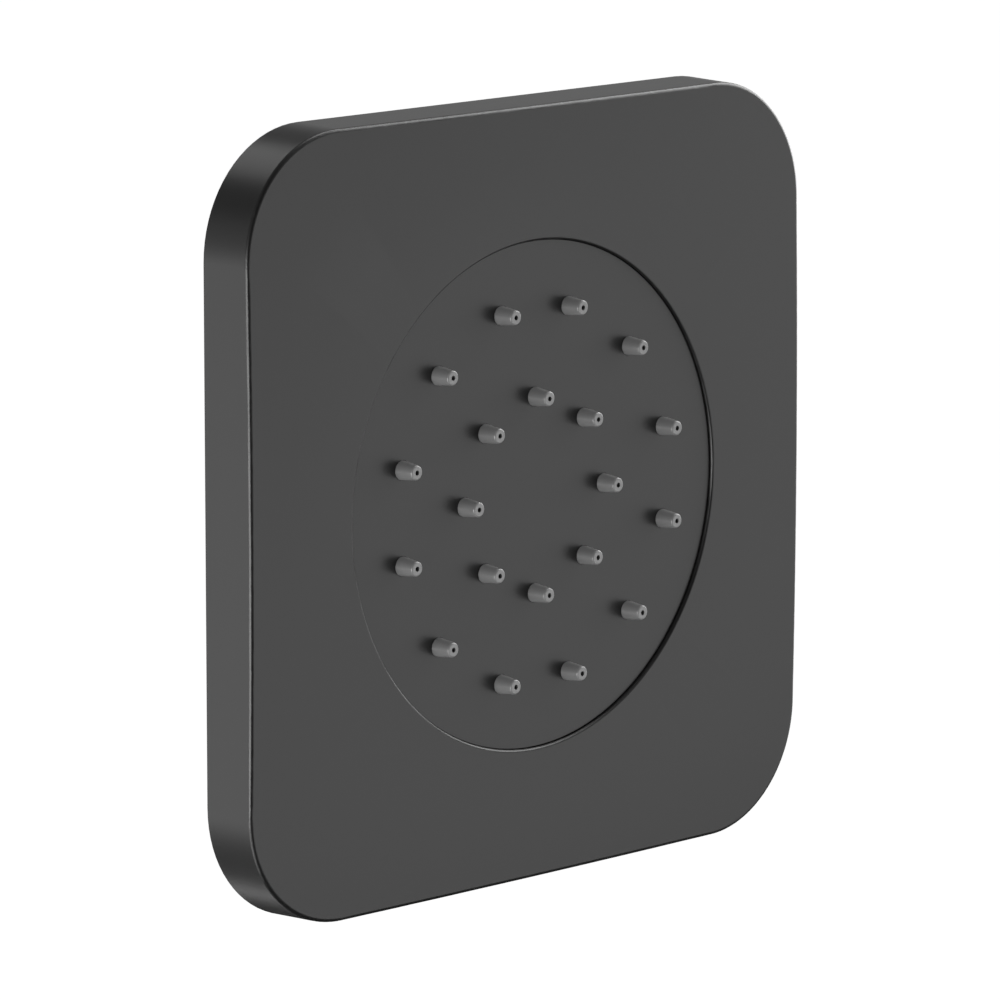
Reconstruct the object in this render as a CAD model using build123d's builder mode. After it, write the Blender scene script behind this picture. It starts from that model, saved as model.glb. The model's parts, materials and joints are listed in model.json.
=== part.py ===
from build123d import *
import os
from math import atan, cos, degrees, radians, sin, sqrt, tan

# Square shower body jet with a swivelling spray head, in millimetres, +Z up.
# The wall is the plane Y = 0, the face looks towards -Y, and the water comes in along the Y axis.
# A depth is a distance in front of the wall: a depth of 10 lies at Y = -10, a negative one in the wall.

# Cover plate
plate_side = 125.0  # outline at the wall
plate_depth = 10.0  # wall to the middle of each front edge
plate_corner = 20.0
side_draft = 1.75  # degrees
face_dome = 2000.0  # radius of the slightly domed face
front_round = 0.6
rear_round = 0.25
cover_wall = 2.0
collar_offset = 2.6  # from the opening to the stiffening collar behind it
collar_height = 2.0
rib_wall = 1.4  # collar and corner ribs

# Spray disc and nozzles
disc_radius = 40.82
disc_recess = 0.65  # disc face below the lip of the opening
disc_wall = 1.5
disc_edge_round = 0.12
rim_gap = 0.05  # running gap between the disc and the opening
lip_round = 0.42
skirt_wall = 1.5
skirt_land = 0.8  # skirt behind the retaining ring
outer_ring_inset = 10.28  # from the disc's edge to the outer nozzle ring
inner_ring = 15.82  # radius
pair_angle = 14.4  # degrees from each axis to the outer ring's paired nozzles
nozzle_height = 3.3  # above the disc face
nozzle_tip = 1.16  # radius
nozzle_base = 1.54  # radius at the disc face
nozzle_tip_round = 0.28
jet_bore = 0.4  # radius of the jet at the tip
jet_length = 1.2
feed_bore = 0.75  # radius of the nozzle's wider bore

# Inside the spray head
mat_web = 0.9
jet_plate_wall = 0.7
jet_plate_hole = 1.1
flange_wall = 1.0
flange_rim = 3.5  # flange outside the jet plate
seat_width = 1.2  # step that carries the jet plate
chamber_gap = 0.25  # least depth of the water chamber
dish_wall = 1.4
dish_step = 0.8
dish_rim_width = 2.5  # flange outside the dish
ring_wall = 0.7  # retaining ring
ring_bite = 0.75  # groove depth in the skirt
ring_width = 1.9
ring_gap_angle = 14.0  # degrees between the ring's ends
ring_gap_direction = -90.0  # degrees, straight down
ring_eye = 1.4
ring_eye_hole = 0.7
ring_eye_offset = 0.15  # eye centres outside the ring's inner edge

# Ball joint
pivot_set_back = 5.0  # ball centre behind the wall plane
ball_radius = 8.0
neck_radius = 4.6
water_bore = 3.0
liner_wall = 1.75
cup_angles = (46.0, 88.0)  # degrees from the front axis
friction_angles = (97.0, 136.0)
socket_angle = 42.0
seal_section = 0.8  # radius of the ball seal's section
seal_angle = 33.0
port_radius = 3.8
collar_radius = 14.0
collar_reach = 1.5  # socket collar behind the ball's centre
nut_wall = 2.45
nut_front = 3.5  # ahead of the ball's centre
nut_back = 9.3  # behind the ball's centre
nut_mouth = 8.0
nut_notch = 2.0
nut_notches = 8

# Stem, inlet and what clamps the stem to the base
hex_set_back = 11.0  # hexagon's front behind the ball's centre
hex_wall = 2.5
hex_flats = 26.0
stem_seal_wall = 1.5
stem_seal_width = 3.2
washer_wall = 1.0
washer_width = 5.2
lock_nut_wall = 5.0
lock_nut_flats = 27.0
thread_radius = 10.4775  # G 1/2
relief_width = 1.0  # groove between the lock nut and the inlet's thread
relief_depth = 0.8
thread_chamfer = 1.0
inlet_reach = 40.0  # inlet end behind the wall
inlet_bore = 6.0
bore_depth = 16.0  # wide part of the inlet's bore
limiter_wall = 4.5
limiter_recess = 0.6
limiter_floor = 1.2
limiter_rim = 1.5
limiter_core = 2.0
limiter_holes = 6
limiter_hole = 0.5
filter_rim_wall = 1.2
filter_length = 9.0
filter_neck = 4.2
filter_end = 3.2
filter_slot_length = 4.5
filter_wall = 0.7
filter_slots = 8
filter_slot = 1.0

# Mounting base
base_wall = 1.0
base_gap = 1.5  # to the cover's inner wall
base_rib = 1.2
base_rib_height = 2.5
base_rib_inset = 1.8
cup_radius = 20.5
cup_wall = 1.5
cup_floor = 1.8
cup_root = 1.0
screw_inset = 12.0  # from the base's edge
screw_hole = 2.25
screw_pad = 5.5
screw_pad_height = 2.2

# Cover fixing: two hooks at the top, one set screw at the bottom
hook_spacing = 60.0
hook_width = 12.0
hook_wall = 1.8
hook_barb = 1.0
barb_wall = 1.4
ledge_reach = 1.0
ledge_wall = 1.5
ledge_depth = 3.0
hook_clearance = 0.1
set_screw_radius = 2.0
set_screw_length = 7.5
set_screw_socket = 1.0
set_screw_depth = 4.5
set_screw_recess = 0.2
set_screw_tip = 0.5
boss_width = 9.0
boss_height = 2.5
boss_margin = 1.0
lug_width = 12.0
lug_wall = 4.0
lug_gap = 0.4
seal_groove_width = 1.0
seal_groove_depth = 0.8
seal_groove_inset = 0.5

# Clearances
running_gap = 0.05  # ball joint
fit_gap = 0.15  # pieces that are put together and stay
close_gap = 0.05  # seals and threads

# Places worked out from the sizes above
rear_half = plate_side / 2
front_half = rear_half - plate_depth * tan(radians(side_draft))
dome_top = plate_depth + face_dome - sqrt(face_dome**2 - front_half**2)
opening_radius = disc_radius + rim_gap


def dome_depth(radius, inset=0.0):
    """Depth of the domed face, or of the surface an inset behind it, at a distance from the axis."""
    return dome_top - face_dome + sqrt((face_dome - inset) ** 2 - radius**2)


disc_face = dome_depth(opening_radius) - disc_recess
disc_back = disc_face - disc_wall
mat_back = disc_back - mat_web
jet_back = mat_back - jet_plate_wall
flange_back = mat_back - flange_wall
ring_back = flange_back - ring_wall
skirt_end = ring_back - skirt_land
skirt_inner = disc_radius - skirt_wall
flange_radius = skirt_inner - fit_gap
jet_plate_radius = flange_radius - flange_rim
groove_radius = skirt_inner + ring_bite

pivot = -pivot_set_back
liner_inner = ball_radius + running_gap
liner_outer = liner_inner + liner_wall
socket_radius = liner_outer + running_gap
nut_radius = collar_radius + nut_wall
opening_sphere = sqrt(opening_radius**2 + (disc_face - pivot) ** 2)

hex_front = pivot - hex_set_back
hex_back = hex_front - hex_wall
cup_bottom = hex_back - stem_seal_wall
cup_back = cup_bottom - cup_floor
washer_back = cup_back - washer_wall
lock_nut_back = washer_back - lock_nut_wall
thread_start = lock_nut_back - relief_width
relief_radius = thread_radius - relief_depth
ring_bore = thread_radius + fit_gap
bore_shoulder = inlet_reach - bore_depth
limiter_back = -bore_shoulder - limiter_wall

limiter_seat = -bore_shoulder - limiter_recess - limiter_floor
insert_radius = inlet_bore - close_gap
limiter_pocket = insert_radius - limiter_rim
filter_back = limiter_back - filter_length

seal_orbit = ball_radius + running_gap + seal_section
seal_middle = seal_orbit * sin(radians(seal_angle))
seal_pocket = seal_middle + seal_section + close_gap
seal_floor = pivot + seal_orbit * cos(radians(seal_angle)) + seal_section + close_gap
dish_floor = seal_floor + dish_wall
dish_rim = flange_radius - dish_rim_width
seat_inner = jet_plate_radius - seat_width

cup_outer = cup_radius + cup_wall
base_half = rear_half - cover_wall - base_gap
base_corner = plate_corner - cover_wall - base_gap
screw_spacing = 2 * (base_half - screw_inset)
stem_hole = thread_radius + 2 * fit_gap
cover_inner = rear_half - cover_wall
barb_depth = ledge_depth + ledge_wall + hook_clearance
hook_places = [(-hook_spacing / 2, base_half), (hook_spacing / 2, base_half)]
boss_start = set_screw_depth - set_screw_radius - boss_margin
boss_end = set_screw_depth + set_screw_radius + boss_margin
lug_low = cover_inner - boss_height - lug_gap
set_screw_start = set_screw_recess + set_screw_depth * tan(radians(side_draft)) - rear_half

taper_rate = (nozzle_base - nozzle_tip) / nozzle_height
nozzle_root = nozzle_base + disc_wall * taper_rate
nozzle_length = disc_wall + nozzle_height
nozzle_taper = degrees(atan(taper_rate))
opening_back = disc_back - cover_wall
opening_middle = (opening_back + disc_face) / 2


def opening_at(depth):
    """Radius of the opening's spherical wall at a depth."""
    return sqrt(opening_sphere**2 - (depth - pivot) ** 2)


def on_circle(radius, angle):
    """A point in the plane of the face."""
    return (radius * cos(radians(angle)), radius * sin(radians(angle)))


def around_ball(radius, polar):
    """A profile point at a distance from the ball's centre, by its angle from the front axis."""
    return (radius * sin(radians(polar)), -pivot - radius * cos(radians(polar)))


def turned(*points):
    """A closed profile through points of (radius, depth), to be turned about the inlet axis."""
    with BuildSketch(Plane.XY) as profile:
        with BuildLine():
            Polyline(*[(radius, -depth) for radius, depth in points], close=True)
        make_face()
    return profile.sketch


def sphere_band(inner, outer, edges):
    """A profile between two spheres about the ball's centre, from one angle to another."""
    first, last = edges
    middle = (first + last) / 2
    with BuildSketch(Plane.XY) as profile:
        with BuildLine():
            ThreePointArc(around_ball(outer, first), around_ball(outer, middle), around_ball(outer, last))
            Line(around_ball(outer, last), around_ball(inner, last))
            ThreePointArc(around_ball(inner, last), around_ball(inner, middle), around_ball(inner, first))
            Line(around_ball(inner, first), around_ball(outer, first))
        make_face()
    return profile.sketch


def plate_form(inset):
    """The plate's domed block with drafted sides, drawn in by an inset on the sides and the face."""
    reach = plate_side
    with BuildPart() as form:
        with BuildSketch(Plane.XZ):
            RectangleRounded(plate_side - 2 * inset, plate_side - 2 * inset, plate_corner - inset)
        extrude(amount=dome_top + cover_wall, taper=side_draft)
        with BuildSketch(Plane.XY):
            with BuildLine():
                ThreePointArc(
                    (0, -dome_depth(0, inset)),
                    (reach / 2, -dome_depth(reach / 2, inset)),
                    (reach, -dome_depth(reach, inset)),
                )
                Polyline((reach, -dome_depth(reach, inset)), (reach, 0), (0, 0), (0, -dome_depth(0, inset)))
            make_face()
        revolve(axis=Axis.Y, mode=Mode.INTERSECT)
    return form.part


outer_ring = disc_radius - outer_ring_inset
nozzle_points = [on_circle(inner_ring, 45 * step) for step in range(8)]
for quarter in range(4):
    for angle in (pair_angle, 45.0, 90.0 - pair_angle):
        nozzle_points.append(on_circle(outer_ring, 90 * quarter + angle))


def nozzle_circles(depth, radius):
    """A sketch of equal circles, one at each nozzle, in a plane parallel to the wall."""
    with BuildSketch(Plane.XZ.offset(depth)) as circles:
        with Locations(*nozzle_points):
            Circle(radius)
    return circles.sketch


def outline_ring(depth, inset, corner, width):
    """A square ring that follows the plate's outline, an inset inside it, in a plane parallel to the wall."""
    side = plate_side - 2 * inset
    with BuildSketch(Plane.XZ.offset(depth)) as ring:
        RectangleRounded(side, side, corner)
        RectangleRounded(side - 2 * width, side - 2 * width, corner - width, mode=Mode.SUBTRACT)
    return ring.sketch


# The hollow of the cover, less what stands in it: a collar round the opening, ribs, ledges and a boss
with BuildPart() as hollow:
    add(plate_form(cover_wall))
    with BuildSketch(Plane.XZ.offset(dome_depth(opening_radius, cover_wall) - collar_height)):
        Circle(opening_radius + collar_offset + rib_wall)
        with PolarLocations(0, 2, start_angle=45):
            Rectangle(2 * plate_side, rib_wall)
        Circle(opening_radius + collar_offset, mode=Mode.SUBTRACT)
    extrude(amount=dome_top, mode=Mode.SUBTRACT)
    with BuildSketch(Plane.XZ.offset(ledge_depth)):
        with Locations((-hook_spacing / 2, cover_inner), (hook_spacing / 2, cover_inner)):
            Rectangle(hook_width + 2 * ledge_reach, 2 * ledge_reach)
    extrude(amount=ledge_wall, mode=Mode.SUBTRACT)
    with BuildSketch(Plane.XZ.offset(boss_start)):
        with Locations((0, -cover_inner)):
            Rectangle(boss_width, 2 * boss_height)
    extrude(amount=boss_end - boss_start, mode=Mode.SUBTRACT)

# Cover plate: a thin domed tray whose opening is a sphere about the ball, so that the disc's gap stays even
with BuildPart() as cover_plate:
    add(plate_form(0.0))
    fillet(cover_plate.faces().sort_by(Axis.Y)[0].edges(), radius=front_round)
    fillet(cover_plate.faces().sort_by(Axis.Y)[-1].edges(), radius=rear_round)
    add(hollow.part, mode=Mode.SUBTRACT)
    with BuildSketch(Plane.XY):
        with BuildLine():
            ThreePointArc(
                (opening_at(opening_back), -opening_back),
                (opening_at(opening_middle), -opening_middle),
                (opening_radius, -disc_face),
            )
            Polyline(
                (opening_radius, -disc_face),
                (opening_radius, -dome_top),
                (0, -dome_top),
                (0, -opening_back),
                (opening_at(opening_back), -opening_back),
            )
        make_face()
    revolve(axis=Axis.Y, mode=Mode.SUBTRACT)
    lip_place = -dome_depth(opening_radius)
    lip = cover_plate.edges().filter_by_position(Axis.Y, lip_place - close_gap, lip_place + close_gap)
    fillet(lip, radius=lip_round)
    extrude(outline_ring(0, seal_groove_inset, plate_corner - seal_groove_inset, seal_groove_width),
            amount=seal_groove_depth, mode=Mode.SUBTRACT)
    with BuildSketch(Plane((0, -set_screw_depth, -rear_half))):
        Circle(set_screw_radius + close_gap)
    extrude(amount=cover_wall + boss_height + boss_margin, mode=Mode.SUBTRACT)
cover_plate.part.label = "cover_plate"

# Rim seal: a square rubber cord in the groove of the cover's rear rim
with BuildPart() as rim_seal:
    seal_inset = seal_groove_inset + close_gap
    extrude(outline_ring(0, seal_inset, plate_corner - seal_inset, seal_groove_width - 2 * close_gap),
            amount=seal_groove_depth)
rim_seal.part.label = "rim_seal"

# Mounting base: a ribbed square flange against the wall and a cup in the wall that holds the stem
with BuildPart() as mounting_base:
    with BuildSketch(Plane.XZ):
        RectangleRounded(2 * base_half, 2 * base_half, base_corner)
        Circle(cup_radius, mode=Mode.SUBTRACT)
    extrude(amount=base_wall)
    revolve(
        turned(
            (cup_radius, base_wall),
            (cup_radius, cup_bottom),
            (stem_hole, cup_bottom),
            (stem_hole, cup_back),
            (cup_outer, cup_back),
            (cup_outer, base_wall),
        ),
        axis=Axis.Y,
    )
    rear_edges = mounting_base.edges().filter_by_position(Axis.Y, -close_gap, close_gap)
    rear_circles = rear_edges.filter_by(GeomType.CIRCLE)
    fillet(rear_circles.filter_by(lambda edge: abs(edge.radius - cup_outer) < close_gap), radius=cup_root)
    rib_inset = rear_half - base_half + base_rib_inset
    extrude(outline_ring(base_wall, rib_inset, plate_corner - rib_inset, base_rib), amount=base_rib_height)
    # Pads for the wall screws
    with BuildSketch(Plane.XZ):
        with GridLocations(screw_spacing, screw_spacing, 2, 2):
            Circle(screw_pad)
    extrude(amount=screw_pad_height)
    with BuildSketch(Plane.XZ):
        with GridLocations(screw_spacing, screw_spacing, 2, 2):
            Circle(screw_hole)
    extrude(amount=screw_pad_height, mode=Mode.SUBTRACT)
    # Hooks over the cover's ledges
    with BuildSketch(Plane.XZ):
        with Locations(*hook_places):
            Rectangle(hook_width, hook_wall, align=(Align.CENTER, Align.MAX))
    extrude(amount=barb_depth + barb_wall)
    with BuildSketch(Plane.XZ.offset(barb_depth)):
        with Locations(*hook_places):
            Rectangle(hook_width, hook_wall, align=(Align.CENTER, Align.MAX))
            Rectangle(hook_width, hook_barb, align=(Align.CENTER, Align.MIN))
    extrude(amount=barb_wall)
    # Lug that takes the tip of the set screw
    with BuildSketch(Plane.XZ):
        with Locations((0, -lug_low)):
            Rectangle(lug_width, lug_wall, align=(Align.CENTER, Align.MIN))
    extrude(amount=boss_end)
    with BuildSketch(Plane((0, -set_screw_depth, -lug_low))):
        Circle(set_screw_radius + fit_gap)
    extrude(amount=lug_wall, mode=Mode.SUBTRACT)
mounting_base.part.label = "mounting_base"

# Set screw: headless, with a hexagon socket, driven up through the cover's lower edge
with BuildPart() as set_screw:
    with BuildSketch(Plane((0, -set_screw_depth, set_screw_start))):
        Circle(set_screw_radius)
    extrude(amount=set_screw_length)
    chamfer(set_screw.faces().sort_by(Axis.Z)[-1].edges(), length=set_screw_tip)
    with BuildSketch(Plane((0, -set_screw_depth, set_screw_start))):
        RegularPolygon(set_screw_socket, 6, major_radius=False)
    extrude(amount=2 * set_screw_socket, mode=Mode.SUBTRACT)
set_screw.part.label = "set_screw"

# Ball stem: the ball, its neck, a hexagon that clamps in the cup, and the threaded inlet
with BuildPart() as ball_stem:
    mouth = (water_bore, -pivot - sqrt(ball_radius**2 - water_bore**2))
    neck = (neck_radius, -pivot + sqrt(ball_radius**2 - neck_radius**2))
    with BuildSketch(Plane.XY):
        with BuildLine():
            ThreePointArc(mouth, (ball_radius, -pivot), neck)
            Polyline(
                neck,
                (neck_radius, -hex_front),
                (thread_radius, -hex_front),
                (thread_radius, -lock_nut_back),
                (relief_radius, -lock_nut_back),
                (relief_radius, -thread_start),
                (thread_radius, -thread_start),
                (thread_radius, inlet_reach - thread_chamfer),
                (thread_radius - thread_chamfer, inlet_reach),
                (inlet_bore, inlet_reach),
                (inlet_bore, bore_shoulder),
                (water_bore, bore_shoulder),
                mouth,
            )
        make_face()
    revolve(axis=Axis.Y)
    with BuildSketch(Plane.XZ.offset(hex_back)):
        RegularPolygon(hex_flats / 2, 6, major_radius=False)
        Circle(neck_radius, mode=Mode.SUBTRACT)
    extrude(amount=hex_wall)
ball_stem.part.label = "ball_stem"

# Stem seal: a flat ring between the hexagon and the floor of the cup
with BuildPart() as stem_seal:
    with BuildSketch(Plane.XZ.offset(cup_bottom)):
        Circle(ring_bore + stem_seal_width)
        Circle(ring_bore, mode=Mode.SUBTRACT)
    extrude(amount=stem_seal_wall)
stem_seal.part.label = "stem_seal"

# Base washer: under the lock nut, behind the cup
with BuildPart() as base_washer:
    with BuildSketch(Plane.XZ.offset(washer_back)):
        Circle(ring_bore + washer_width)
        Circle(ring_bore, mode=Mode.SUBTRACT)
    extrude(amount=washer_wall)
base_washer.part.label = "base_washer"

# Lock nut: hexagonal, with its corners turned off at both ends
with BuildPart() as lock_nut:
    nut_flat = lock_nut_flats / 2
    nut_corner = nut_flat / cos(radians(30))
    corner_drop = (nut_corner - nut_flat) * tan(radians(30))
    with BuildSketch(Plane.XZ.offset(lock_nut_back)):
        RegularPolygon(nut_flat, 6, major_radius=False)
        Circle(thread_radius + close_gap, mode=Mode.SUBTRACT)
    extrude(amount=lock_nut_wall)
    revolve(
        turned(
            (0, washer_back),
            (nut_flat, washer_back),
            (nut_corner, washer_back - corner_drop),
            (nut_corner, lock_nut_back + corner_drop),
            (nut_flat, lock_nut_back),
            (0, lock_nut_back),
        ),
        axis=Axis.Y,
        mode=Mode.INTERSECT,
    )
lock_nut.part.label = "lock_nut"

# Flow limiter: a plastic insert with a core and a ring of holes, against the shoulder of the inlet's bore
with BuildPart() as flow_limiter:
    revolve(
        turned(
            (0, -bore_shoulder - limiter_recess),
            (limiter_pocket, -bore_shoulder - limiter_recess),
            (limiter_pocket, -bore_shoulder),
            (insert_radius, -bore_shoulder),
            (insert_radius, limiter_back),
            (limiter_pocket, limiter_back),
            (limiter_pocket, limiter_seat),
            (limiter_core, limiter_seat),
            (limiter_core, limiter_back),
            (0, limiter_back),
        ),
        axis=Axis.Y,
    )
    with BuildSketch(Plane.XZ.offset(limiter_seat)):
        with PolarLocations((limiter_core + limiter_pocket) / 2, limiter_holes):
            Circle(limiter_hole)
    extrude(amount=limiter_floor, mode=Mode.SUBTRACT)
flow_limiter.part.label = "flow_limiter"

# Limiter ring: the soft ring round the limiter's core that narrows the holes as pressure rises
with BuildPart() as limiter_ring:
    ring_section = (limiter_pocket - limiter_core) / 2 - close_gap
    with BuildSketch(Plane.XY):
        with Locations(((limiter_core + limiter_pocket) / 2, ring_section + close_gap - limiter_seat)):
            Circle(ring_section)
    revolve(axis=Axis.Y)
limiter_ring.part.label = "limiter_ring"

# Inlet filter: a slotted thimble with a rim, behind the limiter
with BuildPart() as inlet_filter:
    revolve(
        turned(
            (filter_neck - filter_wall, limiter_back),
            (insert_radius, limiter_back),
            (insert_radius, limiter_back - filter_rim_wall),
            (filter_neck, limiter_back - filter_rim_wall),
            (filter_end, filter_back),
            (0, filter_back),
            (0, filter_back + filter_wall),
            (filter_end - filter_wall, filter_back + filter_wall),
        ),
        axis=Axis.Y,
    )
    slot_middle = (limiter_back - filter_rim_wall + filter_back) / 2
    for step in range(filter_slots // 2):
        turn = radians(step * 360 / filter_slots)
        with BuildSketch(Plane((0, -slot_middle, 0), x_dir=(0, 1, 0), z_dir=(cos(turn), 0, sin(turn)))):
            SlotOverall(filter_slot_length, filter_slot)
        extrude(amount=filter_neck, both=True, mode=Mode.SUBTRACT)
inlet_filter.part.label = "inlet_filter"

# Ball cup and friction ring: the low-friction liners in front of and behind the ball's middle
with BuildPart() as ball_cup:
    revolve(sphere_band(liner_inner, liner_outer, cup_angles), axis=Axis.Y)
ball_cup.part.label = "ball_cup"

with BuildPart() as friction_ring:
    revolve(sphere_band(liner_inner, liner_outer, friction_angles), axis=Axis.Y)
friction_ring.part.label = "friction_ring"

# Nozzle disc: the round face with a tapered hole for each nozzle, and a skirt grooved for the retaining ring
with BuildPart() as nozzle_disc:
    revolve(
        turned(
            (0, disc_face),
            (disc_radius, disc_face),
            (disc_radius, skirt_end),
            (skirt_inner, skirt_end),
            (skirt_inner, ring_back),
            (groove_radius, ring_back),
            (groove_radius, flange_back),
            (skirt_inner, flange_back),
            (skirt_inner, disc_back),
            (0, disc_back),
        ),
        axis=Axis.Y,
    )
    fillet(nozzle_disc.faces().sort_by(Axis.Y)[0].edges(), radius=disc_edge_round)
    extrude(nozzle_circles(disc_back, nozzle_root + close_gap), amount=disc_wall, taper=nozzle_taper,
            mode=Mode.SUBTRACT)
nozzle_disc.part.label = "nozzle_disc"

# Nozzle mat: one silicone moulding, a web with all the nozzles on it
with BuildPart() as nozzle_mat:
    with BuildSketch(Plane.XZ.offset(mat_back)):
        Circle(flange_radius)
    extrude(amount=mat_web)
    extrude(nozzle_circles(disc_back, nozzle_root), amount=nozzle_length, taper=nozzle_taper)
    fillet(nozzle_mat.faces().group_by(Axis.Y)[0].edges(), radius=nozzle_tip_round)
    whole_length = mat_web + nozzle_length
    extrude(nozzle_circles(mat_back, feed_bore), amount=whole_length - jet_length, mode=Mode.SUBTRACT)
    extrude(nozzle_circles(mat_back, jet_bore), amount=whole_length, mode=Mode.SUBTRACT)
nozzle_mat.part.label = "nozzle_mat"

# Jet plate: a stiff perforated disc that backs the mat
with BuildPart() as jet_plate:
    with BuildSketch(Plane.XZ.offset(jet_back)):
        Circle(jet_plate_radius)
        add(nozzle_circles(jet_back, jet_plate_hole), mode=Mode.SUBTRACT)
    extrude(amount=jet_plate_wall)
jet_plate.part.label = "jet_plate"

# Distributor: the flange that clamps the mat, the shallow water dish and the socket for the ball
with BuildPart() as distributor:
    pocket_edge = around_ball(socket_radius, socket_angle)
    pocket_middle = around_ball(socket_radius, (90 + socket_angle) / 2)
    with BuildSketch(Plane.XY):
        with BuildLine():
            ThreePointArc((socket_radius, -pivot), pocket_middle, pocket_edge)
            Polyline(
                pocket_edge,
                (seal_pocket, pocket_edge[1]),
                (seal_pocket, -seal_floor),
                (port_radius, -seal_floor),
                (port_radius, -dish_floor),
                (seat_inner, chamber_gap - jet_back),
                (seat_inner, -jet_back),
                (jet_plate_radius + fit_gap, -jet_back),
                (jet_plate_radius + fit_gap, -mat_back),
                (flange_radius, -mat_back),
                (flange_radius, -flange_back),
                (dish_rim, -flange_back),
                (dish_rim - dish_step, chamber_gap + dish_wall - jet_back),
                (collar_radius, dish_wall - dish_floor),
                (collar_radius, collar_reach - pivot),
                (socket_radius, collar_reach - pivot),
                (socket_radius, -pivot),
            )
        make_face()
    revolve(axis=Axis.Y)
distributor.part.label = "distributor"

# Retaining ring: a spring ring with an eye at each end, in the groove of the skirt
with BuildPart() as retaining_ring:
    ring_outer = groove_radius - close_gap
    eye_circle = ring_outer - ring_width + ring_eye_offset
    first_end = ring_gap_direction - ring_gap_angle / 2
    last_end = ring_gap_direction + ring_gap_angle / 2
    gap_reach = 2 * ring_outer
    with BuildSketch(Plane.XZ.offset(ring_back)):
        Circle(ring_outer)
        Circle(ring_outer - ring_width, mode=Mode.SUBTRACT)
        with BuildLine():
            Polyline((0, 0), on_circle(gap_reach, first_end), on_circle(gap_reach, last_end), close=True)
        make_face(mode=Mode.SUBTRACT)
        with Locations(on_circle(eye_circle, first_end), on_circle(eye_circle, last_end)):
            Circle(ring_eye)
            Circle(ring_eye_hole, mode=Mode.SUBTRACT)
    extrude(amount=ring_wall)
retaining_ring.part.label = "retaining_ring"

# Ball seal: the ring that wipes the ball, in the pocket round the water port
with BuildPart() as ball_seal:
    with BuildSketch(Plane.XY):
        with Locations(around_ball(seal_orbit, seal_angle)):
            Circle(seal_section)
    revolve(axis=Axis.Y)
ball_seal.part.label = "ball_seal"

# Socket nut: screws on the collar and carries the liner behind the ball
with BuildPart() as socket_nut:
    nut_shoulder = pivot - collar_reach - close_gap
    seat_start = (sqrt(socket_radius**2 - (pivot - nut_shoulder) ** 2), -nut_shoulder)
    seat_end = around_ball(socket_radius, friction_angles[1])
    with BuildSketch(Plane.XY):
        with BuildLine():
            ThreePointArc(seat_start, around_ball(socket_radius, sum(friction_angles) / 2), seat_end)
            Polyline(
                seat_end,
                (nut_mouth, nut_back - pivot),
                (nut_radius, nut_back - pivot),
                (nut_radius, -pivot - nut_front),
                (collar_radius + close_gap, -pivot - nut_front),
                (collar_radius + close_gap, -nut_shoulder),
                seat_start,
            )
        make_face()
    revolve(axis=Axis.Y)
    with BuildSketch(Plane.XZ.offset(pivot - nut_back)):
        with PolarLocations(nut_radius + nut_notch / 2, nut_notches):
            Circle(nut_notch)
    extrude(amount=nut_back, mode=Mode.SUBTRACT)
socket_nut.part.label = "socket_nut"

os.makedirs("parts", exist_ok=True)
for piece in (
    cover_plate,
    rim_seal,
    mounting_base,
    set_screw,
    ball_stem,
    stem_seal,
    base_washer,
    lock_nut,
    flow_limiter,
    limiter_ring,
    inlet_filter,
    ball_cup,
    friction_ring,
    nozzle_disc,
    nozzle_mat,
    jet_plate,
    distributor,
    retaining_ring,
    ball_seal,
    socket_nut,
):
    export_step(piece.part, f"parts/{piece.part.label}.step")
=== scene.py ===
"""Looks for the shower body jet: finishes, studio light and the photograph's camera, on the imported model."""
import json
from math import cos, radians, sin, tan

import bpy
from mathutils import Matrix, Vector

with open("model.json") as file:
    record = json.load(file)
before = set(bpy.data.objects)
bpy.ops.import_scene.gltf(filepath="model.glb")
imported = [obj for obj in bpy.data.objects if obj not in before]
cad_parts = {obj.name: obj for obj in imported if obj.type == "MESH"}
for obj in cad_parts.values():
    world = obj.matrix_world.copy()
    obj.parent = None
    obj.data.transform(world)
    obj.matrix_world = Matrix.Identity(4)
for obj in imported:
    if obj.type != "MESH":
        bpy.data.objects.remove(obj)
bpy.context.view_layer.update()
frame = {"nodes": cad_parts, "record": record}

# Camera, fitted to the plate's edges and the nozzle rings, for a square picture
CAMERA_AZIMUTH = -45.435  # degrees
CAMERA_ELEVATION = 9.993  # degrees
CAMERA_DISTANCE = 1.1210  # metres from the target
CAMERA_TARGET = Vector((0.0, 0.00023, 0.0))  # metres
CAMERA_SENSOR = 36.0  # millimetres
CAMERA_LENS = 252.58  # millimetres
CAMERA_SHIFT = (0.01065, -0.01287)  # shares of the picture's side

# Floor and surroundings
FLOOR_HEIGHT = -0.60  # metres
FLOOR_SIZE = 24.0  # metres
FLOOR_GREY = 0.85
FLOOR_ROUGHNESS = 0.9
FLOOR_LIFT = 0.85  # added where the floor is looked at, which brings it to white
WORLD_STRENGTH = 0.2
LAMP_POWER = 4.0  # watts for a square metre of lamp at brightness 1

# Dark cards, in metres from the middle and degrees
FRONT_FLAG_DISTANCE = 0.9
FRONT_FLAG_SPAN = (-58, 3)
FRONT_FLAG_BOTTOM, FRONT_FLAG_TOP = -0.35, 1.2
LOW_FLAG_HEIGHT = -0.2
SLOT_LEFT, SLOT_RIGHT, SLOT_FRONT = -0.05, -0.01, 0.07  # open for the light band in the lower left corner

# Grain of the finishes
GRAIN_DETAIL = 4.0
GRAIN_DEPTH = 0.00005  # metres
ROUGHNESS_SPREAD = 0.03
# Painted shade: the near-black that holes and recesses are darkened towards
PAINTED_HOLE_SHADE = (0.002, 0.002, 0.002, 1)

# The plate's side wall, as in the CAD model
CORNER_AXIS = 0.0425  # metres from the middle
SIDE_DRAFT = 1.75  # degrees
WALL_TOLERANCE = 0.08  # how far a face's direction may be from the wall's own


def from_angles(azimuth, elevation):
    """The unit vector towards a viewpoint: azimuth 0 is in front of the face, positive to the right."""
    az, el = radians(azimuth), radians(elevation)
    return Vector((sin(az) * cos(el), -cos(az) * cos(el), sin(el)))


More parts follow.
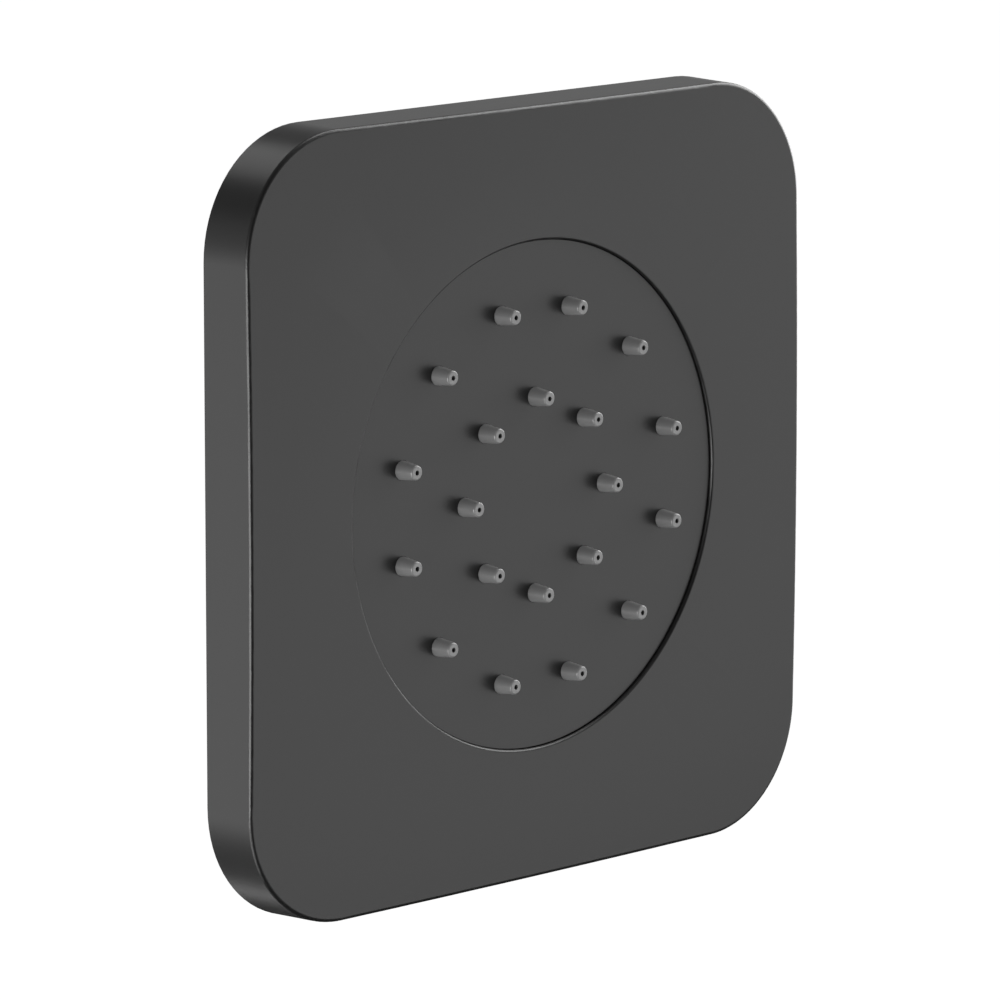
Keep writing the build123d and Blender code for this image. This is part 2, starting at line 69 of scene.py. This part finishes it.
def step(tree, kind, operation, *values, output):
    """Adds a maths node that works on set values or other nodes' outputs, and gives its output."""
    made = tree.nodes.new(kind)
    made.operation = operation
    for socket, value in zip(made.inputs, values):
        if isinstance(value, bpy.types.NodeSocket):
            tree.links.new(value, socket)
        else:
            socket.default_value = value
    return made.outputs[output]


def new_material(name):
    """A node material, with its node tree and its shader."""
    material = bpy.data.materials.new(name)
    material.use_nodes = True
    return material, material.node_tree, material.node_tree.nodes["Principled BSDF"]


def grained(name, color, spread, roughness, grain_scale, bump, metallic=0.0, gloss=0.5, painted_shade_reach=0.0):
    """A finish with fine grain in colour, roughness and relief; with a reach set, painted shade darkens its
    holes and recesses.
    """
    material, tree, shader = new_material(name)
    nodes, links = tree.nodes, tree.links
    shader.inputs["Metallic"].default_value = metallic
    shader.inputs["Specular IOR Level"].default_value = gloss

    place = nodes.new("ShaderNodeTexCoord")
    grain = nodes.new("ShaderNodeTexNoise")
    grain.inputs["Scale"].default_value = grain_scale
    grain.inputs["Detail"].default_value = GRAIN_DETAIL
    links.new(place.outputs["Object"], grain.inputs["Vector"])

    tint = nodes.new("ShaderNodeMix")
    tint.data_type = "RGBA"
    tint.inputs["A"].default_value = (*[c * (1 - spread) for c in color], 1)
    tint.inputs["B"].default_value = (*[c * (1 + spread) for c in color], 1)
    links.new(grain.outputs["Fac"], tint.inputs["Factor"])
    shade = tint
    # Painted shade: ambient occlusion darkens the colour towards near-black in the bores and round the nozzle
    # bases
    if painted_shade_reach:
        painted_shade_mask = nodes.new("ShaderNodeAmbientOcclusion")
        painted_shade_mask.only_local = True
        painted_shade_mask.inputs["Distance"].default_value = painted_shade_reach
        shade = nodes.new("ShaderNodeMix")
        shade.data_type = "RGBA"
        shade.inputs["A"].default_value = PAINTED_HOLE_SHADE
        links.new(painted_shade_mask.outputs["AO"], shade.inputs["Factor"])
        links.new(tint.outputs["Result"], shade.inputs["B"])
    links.new(shade.outputs["Result"], shader.inputs["Base Color"])

    rough = nodes.new("ShaderNodeMapRange")
    rough.inputs["To Min"].default_value = roughness - ROUGHNESS_SPREAD
    rough.inputs["To Max"].default_value = roughness + ROUGHNESS_SPREAD
    links.new(grain.outputs["Fac"], rough.inputs["Value"])
    links.new(rough.outputs["Result"], shader.inputs["Roughness"])

    relief = nodes.new("ShaderNodeBump")
    relief.inputs["Strength"].default_value = bump
    relief.inputs["Distance"].default_value = GRAIN_DEPTH
    links.new(grain.outputs["Fac"], relief.inputs["Height"])
    links.new(relief.outputs["Normal"], shader.inputs["Normal"])
    return material


FINISHES = {
    "matt_black": dict(color=(0.008, 0.008, 0.008), spread=0.08, roughness=0.34, grain_scale=9000, bump=0.03),
    # The silicone gets painted shade in its nozzle bores and round the nozzle bases
    "grey_silicone": dict(
        color=(0.20, 0.20, 0.20), spread=0.06, roughness=0.30, grain_scale=6000, bump=0.03,
        gloss=0.9, painted_shade_reach=0.001,
    ),
    "dark_plastic": dict(color=(0.03, 0.03, 0.032), spread=0.10, roughness=0.5, grain_scale=4000, bump=0.1),
    "black_rubber": dict(color=(0.015, 0.015, 0.015), spread=0.10, roughness=0.7, grain_scale=5000, bump=0.1),
    "brass": dict(
        color=(0.72, 0.55, 0.28), spread=0.05, roughness=0.28, grain_scale=3000, bump=0.04, metallic=1.0
    ),
    "steel": dict(
        color=(0.55, 0.55, 0.56), spread=0.05, roughness=0.3, grain_scale=3000, bump=0.04, metallic=1.0
    ),
    "white_liner": dict(color=(0.82, 0.82, 0.80), spread=0.02, roughness=0.45, grain_scale=3000, bump=0.03),
    "white_plastic": dict(color=(0.70, 0.72, 0.74), spread=0.02, roughness=0.45, grain_scale=3000, bump=0.03),
}
MATERIALS = {name: grained(name, **finish) for name, finish in FINISHES.items()}

# Each piece takes its finish
for subpart in frame["record"]["subparts"]:
    node = frame["nodes"][subpart["node"]]
    node.data.materials.clear()
    node.data.materials.append(MATERIALS[subpart["material_slot"]])


def smooth_sides(node):
    """Shades the plate's side wall by its true flats, corners and draft, so that no seam shows."""
    tree = bpy.data.node_groups.new("smooth_sides", "GeometryNodeTree")
    tree.interface.new_socket("Geometry", in_out="INPUT", socket_type="NodeSocketGeometry")
    tree.interface.new_socket("Geometry", in_out="OUTPUT", socket_type="NodeSocketGeometry")
    nodes, links = tree.nodes, tree.links

    def vector_step(operation, *values, output="Vector"):
        return step(tree, "ShaderNodeVectorMath", operation, *values, output=output)

    # The wall's own direction at a point: straight out on the flats, round the corner's axis in the corners
    place = nodes.new("GeometryNodeInputPosition").outputs["Position"]
    past_corner = vector_step("SUBTRACT", vector_step("ABSOLUTE", place), (CORNER_AXIS, 1.0, CORNER_AXIS))
    past_corner = vector_step("MAXIMUM", past_corner, (0.0, 0.0, 0.0))
    outward = vector_step("NORMALIZE", vector_step("MULTIPLY", past_corner, vector_step("SIGN", place)))
    draft = (0.0, -tan(radians(SIDE_DRAFT)), 0.0)
    wall = vector_step("NORMALIZE", vector_step("ADD", outward, draft))

    # Faces that lie along the wall take its direction, and all others keep theirs
    normal = nodes.new("GeometryNodeInputNormal")
    face = nodes.new("GeometryNodeFieldOnDomain")
    face.domain = "FACE"
    face.data_type = "FLOAT_VECTOR"
    links.new(normal.outputs["True Normal"], face.inputs["Value"])
    on_wall = nodes.new("FunctionNodeCompare")
    on_wall.operation = "LESS_THAN"
    on_wall.inputs["B"].default_value = WALL_TOLERANCE
    links.new(vector_step("DISTANCE", face.outputs["Value"], wall, output="Value"), on_wall.inputs["A"])
    chosen = nodes.new("GeometryNodeSwitch")
    chosen.input_type = "VECTOR"
    links.new(on_wall.outputs["Result"], chosen.inputs["Switch"])
    links.new(normal.outputs["Normal"], chosen.inputs["False"])
    links.new(wall, chosen.inputs["True"])

    shading = nodes.new("GeometryNodeSetMeshNormal")
    shading.mode = "FREE"
    shading.domain = "CORNER"
    links.new(nodes.new("NodeGroupInput").outputs["Geometry"], shading.inputs["Mesh"])
    links.new(chosen.outputs["Output"], shading.inputs["Custom Normal"])
    links.new(shading.outputs["Mesh"], nodes.new("NodeGroupOutput").inputs["Geometry"])
    node.modifiers.new("smooth_sides", "NODES").node_group = tree


smooth_sides(frame["nodes"]["cover_plate"])


def sheet(name, material, corners):
    """A flat four-cornered card with a material, put into the scene."""
    mesh = bpy.data.meshes.new(name)
    mesh.from_pydata(corners, [], [(0, 1, 2, 3)])
    mesh.materials.append(material)
    card = bpy.data.objects.new(name, mesh)
    bpy.context.collection.objects.link(card)
    return card


def level(height, *plan):
    """The corners of a level card from its plan."""
    return [(x, y, height) for x, y in plan]


# Floor: pale and lit by the room, and shown as white where it is seen straight on or in a reflection
floor_material, floor_tree, floor_shader = new_material("floor_white")
floor_shader.inputs["Base Color"].default_value = (FLOOR_GREY, FLOOR_GREY, FLOOR_GREY, 1)
floor_shader.inputs["Roughness"].default_value = FLOOR_ROUGHNESS
floor_shader.inputs["Specular IOR Level"].default_value = 0.0
floor_shader.inputs["Emission Color"].default_value = (1, 1, 1, 1)
ray = floor_tree.nodes.new("ShaderNodeLightPath").outputs
seen = step(
    floor_tree, "ShaderNodeMath", "MAXIMUM", ray["Is Camera Ray"], ray["Is Glossy Ray"], output="Value"
)
seen = step(floor_tree, "ShaderNodeMath", "MAXIMUM", seen, ray["Is Transmission Ray"], output="Value")
lift = step(floor_tree, "ShaderNodeMath", "MULTIPLY", seen, FLOOR_LIFT, output="Value")
floor_tree.links.new(lift, floor_shader.inputs["Emission Strength"])
half = FLOOR_SIZE / 2
floor = sheet(
    "floor", floor_material, level(FLOOR_HEIGHT, (-half, -half), (half, -half), (half, half), (-half, half))
)

# Even dim surroundings
world = bpy.data.worlds.new("studio")
world.use_nodes = True
world.node_tree.nodes["Background"].inputs["Color"].default_value = (1, 1, 1, 1)
world.node_tree.nodes["Background"].inputs["Strength"].default_value = WORLD_STRENGTH
bpy.context.scene.world = world


def soft_box(name, azimuth, elevation, distance, width, height, brightness):
    """A soft box that faces the object, in degrees and metres, with the brightness of its surface."""
    lamp = bpy.data.lights.new(name, "AREA")
    lamp.shape = "RECTANGLE"
    lamp.size = width
    lamp.size_y = height
    lamp.energy = LAMP_POWER * brightness * width * height
    holder = bpy.data.objects.new(name, lamp)
    holder.location = from_angles(azimuth, elevation) * distance
    holder.rotation_euler = (-holder.location).to_track_quat("-Z", "Y").to_euler()
    bpy.context.collection.objects.link(holder)


# Lamps: azimuth, elevation, distance, width, height and brightness, with what each lights or is mirrored in
soft_box("right_front_box", 28.5, -11, 1.2, 1.04, 0.97, 0.455)  # the face
soft_box("right_box", 79, 32, 1.0, 0.8, 0.58, 4.9)  # the line along the top edge, and the nozzle tips
soft_box("right_low_box", 88, 7, 1.0, 0.8, 0.33, 3.3)  # the line along the opening's lower left
soft_box("top_box", 90, 64, 1.0, 0.5, 0.35, 3.2)  # the nozzles from above
soft_box("left_box", -77.5, -10, 1.0, 0.71, 0.28, 7.8)  # the line along the left edge, and the nozzle sides
soft_box("left_low_box", -88, -36, 0.6, 0.14, 0.34, 2.4)  # that line in the lower left corner
soft_box("left_rear_box", -131, -10.5, 1.0, 0.5, 0.46, 0.75)  # the left side
soft_box("left_rear_high_box", -132, 14, 1.0, 0.5, 0.35, 0.33)  # the left side's fade upwards
soft_box("rear_high_strip", -177, 47, 1.0, 0.5, 0.2, 1.7)  # the light band in the upper left corner
soft_box("right_rear_box", 135, 14, 1.0, 0.8, 0.4, 0.2)  # the top side


def flag(name, grey, corners):
    """A dark card seen only in reflections: the camera and the light on the object pass it."""
    material, _, shader = new_material(name)
    shader.inputs["Base Color"].default_value = (grey, grey, grey, 1)
    shader.inputs["Specular IOR Level"].default_value = 0.0
    card = sheet(name, material, corners)
    card.visible_camera = False
    card.visible_diffuse = False
    card.visible_shadow = False


# The front flag makes the dark line along the left edge. The low flags keep the floor off the lower edges.
left_post, right_post = [from_angles(azimuth, 0).xy * FRONT_FLAG_DISTANCE for azimuth in FRONT_FLAG_SPAN]
flag(
    "front_flag",
    grey=0.01,
    corners=[
        (*left_post, FRONT_FLAG_BOTTOM),
        (*right_post, FRONT_FLAG_BOTTOM),
        (*right_post, FRONT_FLAG_TOP),
        (*left_post, FRONT_FLAG_TOP),
    ],
)
flag(
    "low_front_flag",
    grey=0.02,
    corners=level(
        LOW_FLAG_HEIGHT, (-0.36, -0.5), (SLOT_RIGHT, -0.5), (SLOT_RIGHT, SLOT_FRONT), (-0.12, SLOT_FRONT)
    ),
)
flag(
    "low_flag",
    grey=0.2,
    corners=level(
        LOW_FLAG_HEIGHT, (-0.23, SLOT_FRONT), (SLOT_LEFT, SLOT_FRONT), (SLOT_LEFT, 0.22), (-0.30, 0.22)
    ),
)
flag(
    "low_right_flag",
    grey=0.05,
    corners=level(LOW_FLAG_HEIGHT, (SLOT_RIGHT, -0.21), (0.5, -0.21), (0.5, 0.5), (SLOT_RIGHT, 0.5)),
)

# Camera
lens = bpy.data.cameras.new("photo_camera")
lens.sensor_width = CAMERA_SENSOR
lens.lens = CAMERA_LENS
lens.shift_x, lens.shift_y = CAMERA_SHIFT
camera = bpy.data.objects.new("photo_camera", lens)
back = from_angles(CAMERA_AZIMUTH, CAMERA_ELEVATION)
camera.location = CAMERA_TARGET + back * CAMERA_DISTANCE
camera.rotation_euler = (-back).to_track_quat("-Z", "Y").to_euler()
bpy.context.collection.objects.link(camera)
bpy.context.scene.camera = camera

bpy.context.scene.view_settings.view_transform = "Standard"
